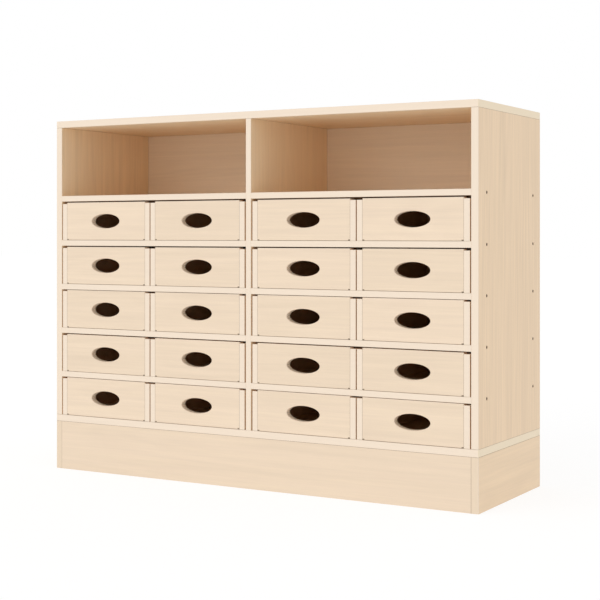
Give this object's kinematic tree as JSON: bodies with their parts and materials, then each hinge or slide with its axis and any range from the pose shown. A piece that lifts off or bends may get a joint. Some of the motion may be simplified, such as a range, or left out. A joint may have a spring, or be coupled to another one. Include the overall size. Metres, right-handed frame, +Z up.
{
  "type": "tray storage unit",
  "caption": "Classroom storage unit in pale wood decor: open compartments above, rows of small drawers with oval finger holes below, on a plain plinth.",
  "frame": {"origin": "middle of the footprint, on the floor", "axes": "+X along the width, to the right seen from the front; +Y from the front to the back; +Z up"},
  "size_m": [1.23, 0.4, 0.94],
  "materials": {
    "panel_board": "satin wood decor, straight fine grain",
    "shelf_board": "satin wood decor with plain pale edging",
    "back_board": "satin wood decor, level grain",
    "drawer_front_board": "satin wood decor, level grain",
    "drawer_box_board": "satin wood decor with plain pale edges",
    "raw_wood": "bare planed wood",
    "screw_steel": "dark bronze plating"
  },
  "bodies": {
    "carcass": {"top_panel": "panel_board", "bottom_panel": "panel_board", "left_side_panel": "panel_board", "right_side_panel": "panel_board", "centre_partition": "panel_board", "back_panel": "back_board", "shelf_row_1": "shelf_board", "shelf_row_2": "shelf_board", "shelf_row_3": "shelf_board", "shelf_row_4": "shelf_board", "shelf_row_5": "shelf_board", "plinth_front": "panel_board", "plinth_rear": "panel_board", "plinth_left": "panel_board", "plinth_right": "panel_board", "plinth_corner_blocks": "raw_wood", "dowels": "raw_wood", "shelf_screws": "screw_steel", "back_panel_screws": "screw_steel", "plinth_screws": "screw_steel"},
    "drawer_r1_c1": {"drawer_r1_c1_front": "drawer_front_board", "drawer_r1_c1_box": "drawer_box_board"},
    "drawer_r1_c2": {"drawer_r1_c2_front": "drawer_front_board", "drawer_r1_c2_box": "drawer_box_board"},
    "drawer_r1_c3": {"drawer_r1_c3_front": "drawer_front_board", "drawer_r1_c3_box": "drawer_box_board"},
    "drawer_r1_c4": {"drawer_r1_c4_front": "drawer_front_board", "drawer_r1_c4_box": "drawer_box_board"},
    "drawer_r2_c1": {"drawer_r2_c1_front": "drawer_front_board", "drawer_r2_c1_box": "drawer_box_board"},
    "drawer_r2_c2": {"drawer_r2_c2_front": "drawer_front_board", "drawer_r2_c2_box": "drawer_box_board"},
    "drawer_r2_c3": {"drawer_r2_c3_front": "drawer_front_board", "drawer_r2_c3_box": "drawer_box_board"},
    "drawer_r2_c4": {"drawer_r2_c4_front": "drawer_front_board", "drawer_r2_c4_box": "drawer_box_board"},
    "drawer_r3_c1": {"drawer_r3_c1_front": "drawer_front_board", "drawer_r3_c1_box": "drawer_box_board"},
    "drawer_r3_c2": {"drawer_r3_c2_front": "drawer_front_board", "drawer_r3_c2_box": "drawer_box_board"},
    "drawer_r3_c3": {"drawer_r3_c3_front": "drawer_front_board", "drawer_r3_c3_box": "drawer_box_board"},
    "drawer_r3_c4": {"drawer_r3_c4_front": "drawer_front_board", "drawer_r3_c4_box": "drawer_box_board"},
    "drawer_r4_c1": {"drawer_r4_c1_front": "drawer_front_board", "drawer_r4_c1_box": "drawer_box_board"},
    "drawer_r4_c2": {"drawer_r4_c2_front": "drawer_front_board", "drawer_r4_c2_box": "drawer_box_board"},
    "drawer_r4_c3": {"drawer_r4_c3_front": "drawer_front_board", "drawer_r4_c3_box": "drawer_box_board"},
    "drawer_r4_c4": {"drawer_r4_c4_front": "drawer_front_board", "drawer_r4_c4_box": "drawer_box_board"},
    "drawer_r5_c1": {"drawer_r5_c1_front": "drawer_front_board", "drawer_r5_c1_box": "drawer_box_board"},
    "drawer_r5_c2": {"drawer_r5_c2_front": "drawer_front_board", "drawer_r5_c2_box": "drawer_box_board"},
    "drawer_r5_c3": {"drawer_r5_c3_front": "drawer_front_board", "drawer_r5_c3_box": "drawer_box_board"},
    "drawer_r5_c4": {"drawer_r5_c4_front": "drawer_front_board", "drawer_r5_c4_box": "drawer_box_board"}
  },
  "joints": [
    {"name": "drawer_r1_c1_slide", "type": "slide", "parent": "carcass", "child": "drawer_r1_c1", "axis": [0, -1, 0], "range_m": [0, 0.3]},
    {"name": "drawer_r1_c2_slide", "type": "slide", "parent": "carcass", "child": "drawer_r1_c2", "axis": [0, -1, 0], "range_m": [0, 0.3]},
    {"name": "drawer_r1_c3_slide", "type": "slide", "parent": "carcass", "child": "drawer_r1_c3", "axis": [0, -1, 0], "range_m": [0, 0.3]},
    {"name": "drawer_r1_c4_slide", "type": "slide", "parent": "carcass", "child": "drawer_r1_c4", "axis": [0, -1, 0], "range_m": [0, 0.3]},
    {"name": "drawer_r2_c1_slide", "type": "slide", "parent": "carcass", "child": "drawer_r2_c1", "axis": [0, -1, 0], "range_m": [0, 0.3]},
    {"name": "drawer_r2_c2_slide", "type": "slide", "parent": "carcass", "child": "drawer_r2_c2", "axis": [0, -1, 0], "range_m": [0, 0.3]},
    {"name": "drawer_r2_c3_slide", "type": "slide", "parent": "carcass", "child": "drawer_r2_c3", "axis": [0, -1, 0], "range_m": [0, 0.3]},
    {"name": "drawer_r2_c4_slide", "type": "slide", "parent": "carcass", "child": "drawer_r2_c4", "axis": [0, -1, 0], "range_m": [0, 0.3]},
    {"name": "drawer_r3_c1_slide", "type": "slide", "parent": "carcass", "child": "drawer_r3_c1", "axis": [0, -1, 0], "range_m": [0, 0.3]},
    {"name": "drawer_r3_c2_slide", "type": "slide", "parent": "carcass", "child": "drawer_r3_c2", "axis": [0, -1, 0], "range_m": [0, 0.3]},
    {"name": "drawer_r3_c3_slide", "type": "slide", "parent": "carcass", "child": "drawer_r3_c3", "axis": [0, -1, 0], "range_m": [0, 0.3]},
    {"name": "drawer_r3_c4_slide", "type": "slide", "parent": "carcass", "child": "drawer_r3_c4", "axis": [0, -1, 0], "range_m": [0, 0.3]},
    {"name": "drawer_r4_c1_slide", "type": "slide", "parent": "carcass", "child": "drawer_r4_c1", "axis": [0, -1, 0], "range_m": [0, 0.3]},
    {"name": "drawer_r4_c2_slide", "type": "slide", "parent": "carcass", "child": "drawer_r4_c2", "axis": [0, -1, 0], "range_m": [0, 0.3]},
    {"name": "drawer_r4_c3_slide", "type": "slide", "parent": "carcass", "child": "drawer_r4_c3", "axis": [0, -1, 0], "range_m": [0, 0.3]},
    {"name": "drawer_r4_c4_slide", "type": "slide", "parent": "carcass", "child": "drawer_r4_c4", "axis": [0, -1, 0], "range_m": [0, 0.3]},
    {"name": "drawer_r5_c1_slide", "type": "slide", "parent": "carcass", "child": "drawer_r5_c1", "axis": [0, -1, 0], "range_m": [0, 0.3]},
    {"name": "drawer_r5_c2_slide", "type": "slide", "parent": "carcass", "child": "drawer_r5_c2", "axis": [0, -1, 0], "range_m": [0, 0.3]},
    {"name": "drawer_r5_c3_slide", "type": "slide", "parent": "carcass", "child": "drawer_r5_c3", "axis": [0, -1, 0], "range_m": [0, 0.3]},
    {"name": "drawer_r5_c4_slide", "type": "slide", "parent": "carcass", "child": "drawer_r5_c4", "axis": [0, -1, 0], "range_m": [0, 0.3]}
  ]
}
